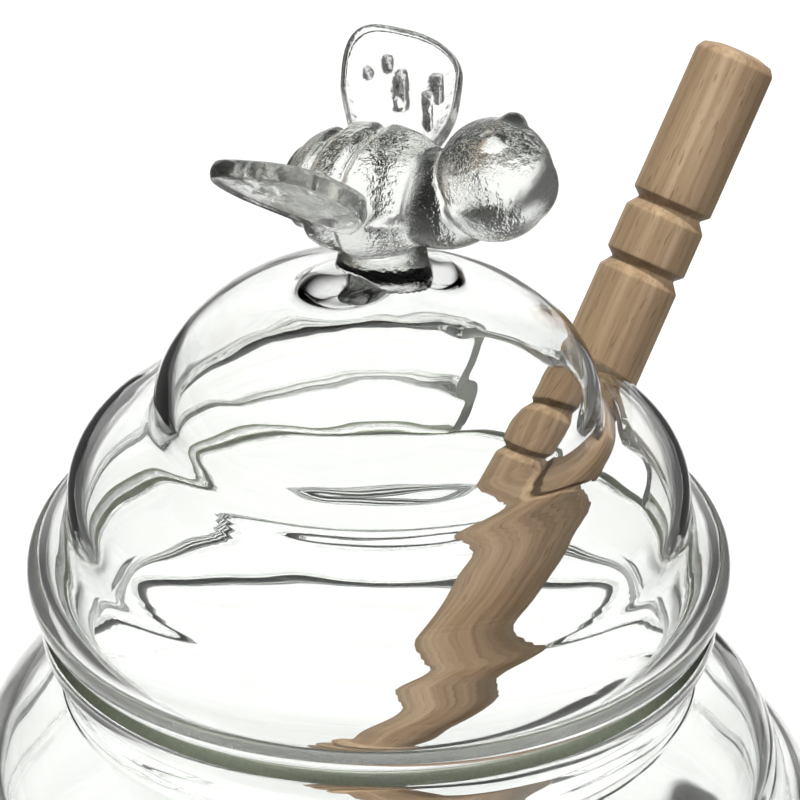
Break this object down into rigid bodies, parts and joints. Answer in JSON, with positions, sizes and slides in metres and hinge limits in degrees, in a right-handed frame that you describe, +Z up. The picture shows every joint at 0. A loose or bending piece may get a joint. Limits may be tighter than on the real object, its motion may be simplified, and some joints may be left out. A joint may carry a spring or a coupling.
{
  "type": "honey jar with dipper",
  "caption": "Clear glass honey pot in beehive tiers, with a loose domed glass lid topped by a glass bee and a wooden dipper standing out through a cut in the lid.",
  "frame": {"origin": "middle of the pot's flat base, on the surface it stands on", "axes": "+Z up, +X to the right of the front view, +Y towards the back; the cut in the lid faces back and right"},
  "size_m": [0.12, 0.12, 0.1391],
  "materials": {
    "clear_glass": "clear and glossy, with a faint grey-green edge; the cut edge is ground matt",
    "beech_wood": "bare turned wood, matt, fine grain along the handle"
  },
  "bodies": {
    "root": {"pot": "clear_glass", "lid": "clear_glass", "dipper": "beech_wood"}
  },
  "joints": []
}
